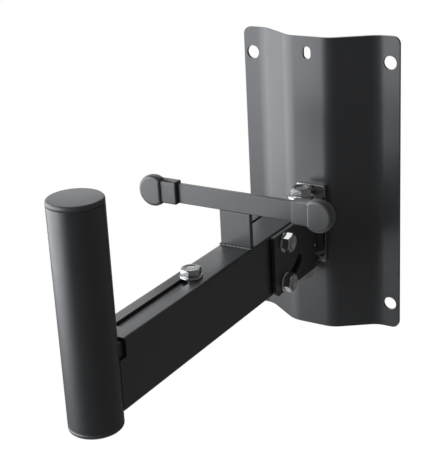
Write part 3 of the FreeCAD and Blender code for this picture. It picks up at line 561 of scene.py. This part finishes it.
cap_black = moulded("cap_black", 0.06, 0.4, ior=1.8)
cap_rim, skirt, plug, seat = 0.003, 0.012, 0.0134, 0.0002
for name, height, flip in (("top", tube_high[2], 1), ("bottom", tube_low[2], -1)):
    shape = bmesh.new()
    lathe(shape, [(0, 0), (plug, 0), (plug, -skirt), (0.0152, -skirt), (0.0154, -0.0004),
                  (post_radius - 0.0004, -0.0002), (post_radius, 0.0003),
                  (post_radius, cap_rim - 0.0015), (post_radius - 0.00022, cap_rim - 0.00075),
                  (post_radius - 0.00075, cap_rim - 0.00022), (post_radius - 0.0015, cap_rim),
                  (0, cap_rim)], steps=128)
    if flip < 0:
        bmesh.ops.scale(shape, vec=(1, 1, -1), verts=shape.verts[:])
    point_along(shape, "z", (0, post_y, height + flip * seat))
    keep(shape, "moulded_%s_cap" % name, "extension", "post_%s_cap" % name, cap_black)

# Rest: a flat stem welded on the arm, a flat bar across it, and a moulded
# pad pushed on each end of the bar, which the speaker's back leans on.


def flat_bar(low, high, name, node, material):
    """A length of flat steel between two corners, its edges dulled."""
    shape = bmesh.new()
    size = [b - a for a, b in zip(low, high)]
    middle = [(a + b) / 2 for a, b in zip(low, high)]
    bmesh.ops.create_cube(shape, size=1.0, matrix=Matrix.Translation(middle)
                          @ Matrix.Diagonal((*size, 1.0)))
    soft_edges(keep(shape, name, "arm", node, material), 0.0006)


rest_black = satin_black("rest_black", tone=0.045, gloss=0.34)
bar_low, bar_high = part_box("rest_bar")
flat_bar(bar_low, bar_high, "flat_cross_bar", "rest_bar", rest_black)
stem_low, stem_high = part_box("rest_stem")
stem_foot, stem_half = stem_low[2], 0.0127
front_bead, side_bead = 0.0013, 0.0011
flat_bar((-stem_half, bar_low[1], stem_foot), (stem_half, bar_high[1], stem_high[2]),
         "flat_stem", "rest_stem", rest_black)
seam = bmesh.new()
for y in (bar_low[1], bar_high[1]):
    weld_bead(seam, (-stem_half, y, stem_foot), (stem_half, y, stem_foot), front_bead)
for x in (-stem_half, stem_half):
    weld_bead(seam, (x, bar_low[1], stem_foot), (x, bar_high[1], stem_foot), side_bead)
keep(seam, "stem_weld", "arm", None, rest_black)

pad_black = moulded("pad_black", 0.06, 0.42, ior=1.8, texture=0.00003)
for side in ("left", "right"):
    eased("rest_pad_" + side, "moulded_pad_" + side, pad_black, 0.0004, angle=38)

# Studio: a broad soft light on the left, a narrow one in front, three dim
# ones over the back and on the right, a pale floor well under the object, and
# the camera of the photograph.


def soft_light(name, azimuth, elevation, distance, width, height, radiance,
               target=(0, -0.15, 0)):
    """A rectangular soft light that faces the object; azimuth 0 is in front, 90 on the right."""
    lamp = bpy.data.lights.new(name, "AREA")
    lamp.shape = "RECTANGLE"
    lamp.size, lamp.size_y = width, height
    lamp.energy = radiance * math.pi * width * height
    lamp.color = (0.93, 0.96, 1.0)
    holder = bpy.data.objects.new(name, lamp)
    bpy.context.scene.collection.objects.link(holder)
    a, e = math.radians(azimuth), math.radians(elevation)
    away = Vector((math.sin(a) * math.cos(e), -math.cos(a) * math.cos(e), math.sin(e)))
    holder.location = Vector(target) + away * distance
    holder.rotation_euler = away.to_track_quat("Z", "Y").to_euler()
    holder.visible_camera = False


soft_light("key_light", -64, 9, 1.4, 2.4, 1.8, 3.5)
soft_light("edge_light", -16, 6, 1.5, 0.45, 1.4, 1.2)
soft_light("back_light", -150, 35, 1.8, 2.0, 1.6, 0.35)
soft_light("far_light", 115, 10, 1.8, 2.0, 1.8, 0.05)
soft_light("high_light", -136, 50, 1.5, 0.7, 0.5, 1.3)

floor_radius, floor_middle = 1.2, (0, 0, -1.2)
floor_shape = bmesh.new()
bmesh.ops.create_circle(floor_shape, cap_ends=True, segments=64, radius=floor_radius,
                        matrix=Matrix.Translation(floor_middle))
floor_mesh = bpy.data.meshes.new("studio_floor")
floor_shape.to_mesh(floor_mesh)
floor_shape.free()
floor = bpy.data.objects.new("studio_floor", floor_mesh)
bpy.context.scene.collection.objects.link(floor)
pale = Coat("pale_floor")
reach = pale.node("ShaderNodeVectorMath", {"operation": "DISTANCE"},
                  {0: pale.place, 1: floor_middle}, output="Value")
fade = pale.ramp(reach, (0.5, 1.0), (1.0, 0.0))
floor_mesh.materials.append(pale.finish((0.8, 0.8, 0.8, 1), 0.9,
                                        pale.bump(pale.noise(40.0), 0.0002), alpha=fade))

room = Coat("studio", bpy.data.worlds)
bpy.context.scene.world = room.material
seen = [room.node("ShaderNodeLightPath", output="Is %s Ray" % ray)
        for ray in ("Camera", "Glossy", "Transmission")]
screen_azimuth, screen_elevation = math.radians(32), math.radians(6)
screen = Vector((-math.sin(screen_azimuth) * math.cos(screen_elevation),
                 math.cos(screen_azimuth) * math.cos(screen_elevation),
                 math.sin(screen_elevation)))
toward = room.node("ShaderNodeVectorMath", {"operation": "DOT_PRODUCT"},
                   {0: room.node("ShaderNodeTexCoord", output="Generated"), 1: screen},
                   output="Value")
behind = room.ramp(toward, (0.8, 0.0), (0.95, 1.0))
room_strength = 0.115
dim = room.node("ShaderNodeBackground", {}, {"Color": (1, 1, 1, 1), "Strength": room_strength})
white = room.node("ShaderNodeBackground", {}, {"Color": (1, 1, 1, 1), "Strength": 1.0})
light = room.node("ShaderNodeMixShader", {},
                  {0: seen[0] + (seen[1] + seen[2]) * behind, 1: dim, 2: white})
room.node("ShaderNodeOutputWorld", {}, {"Surface": light}, output=None)

lens = bpy.data.cameras.new("camera")
camera = bpy.data.objects.new("camera", lens)
bpy.context.scene.collection.objects.link(camera)
bpy.context.scene.camera = camera
azimuth, elevation, roll = math.radians(31.722), math.radians(19.159), math.radians(-2.739)
back = Vector((math.sin(azimuth) * math.cos(elevation), -math.cos(azimuth) * math.cos(elevation),
               math.sin(elevation)))
level = Vector((math.cos(azimuth), math.sin(azimuth), 0))
rise = level.cross(-back)
across = math.cos(roll) * level + math.sin(roll) * rise
upward = math.cos(roll) * rise - math.sin(roll) * level
camera_back, camera_aside, camera_rise = 0.933625, -0.076055, -0.008009
spot = back * camera_back + level * camera_aside + rise * camera_rise
turn = Matrix((across, upward, back)).transposed()
camera.matrix_world = Matrix.Translation(spot) @ turn.to_4x4()
lens.sensor_width = 36.0
lens.lens = 87.86
lens.shift_x = -0.03525
lens.shift_y = -0.0876
lens.clip_start, lens.clip_end = 0.05, 20.0

bpy.context.scene.view_settings.view_transform = "Standard"
